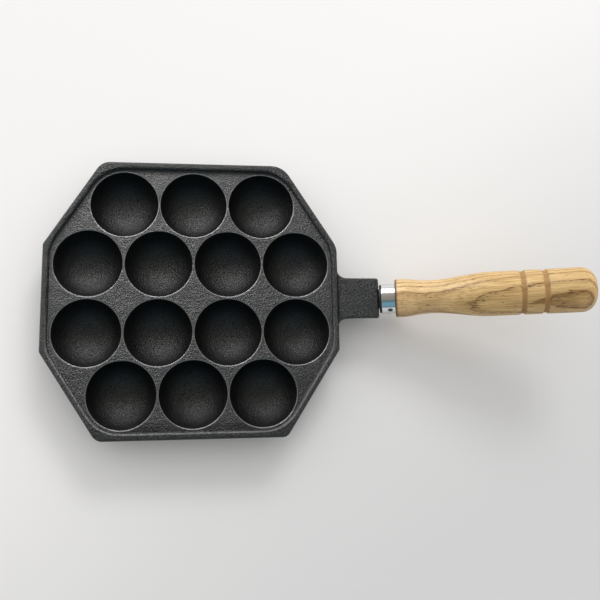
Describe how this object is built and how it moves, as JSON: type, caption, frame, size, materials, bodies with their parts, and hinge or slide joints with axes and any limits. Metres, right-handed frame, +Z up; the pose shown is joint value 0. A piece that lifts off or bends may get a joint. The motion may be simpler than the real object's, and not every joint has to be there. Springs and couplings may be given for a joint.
{
  "type": "takoyaki maker",
  "caption": "Octagonal cast-iron dumpling pan with round cups and a turned wooden handle drawn on by a long bolt.",
  "frame": {"origin": "on the surface that the pan stands on, under the middle of the whole length and width", "axes": "+X along the length, from the cup plate to the handle; +Y across the plate; +Z up, out of the cups"},
  "size_m": [0.3662, 0.186, 0.0719],
  "materials": {
    "cast_iron": "sand-cast, black, satin",
    "black_washer": "matte black",
    "ferrule_chrome": "bright plated",
    "wood": "pale hardwood, thin satin lacquer",
    "bolt_steel": "zinc plated"
  },
  "bodies": {
    "pan": {"pan": "cast_iron"},
    "handle": {"seat_washer": "black_washer", "ferrule": "ferrule_chrome", "grip": "wood", "butt_washer": "bolt_steel", "spring_washer": "bolt_steel"},
    "bolt": {"handle_bolt": "bolt_steel"}
  },
  "joints": [
    {"name": "handle_withdraw", "type": "slide", "parent": "pan", "child": "handle", "axis": [0.9578, 0, 0.2874], "range_m": [0, 0.017]},
    {"name": "bolt_turn", "type": "hinge", "parent": "handle", "child": "bolt", "pos_m": [0.04165, 0, 0.018], "axis": [0.9578, 0, 0.2874], "range_deg": [0, 6121]}
  ],
  "couplings": [
    {"joint": "bolt_turn", "follows": "handle_withdraw", "rad_per_m": 6283.2}
  ]
}
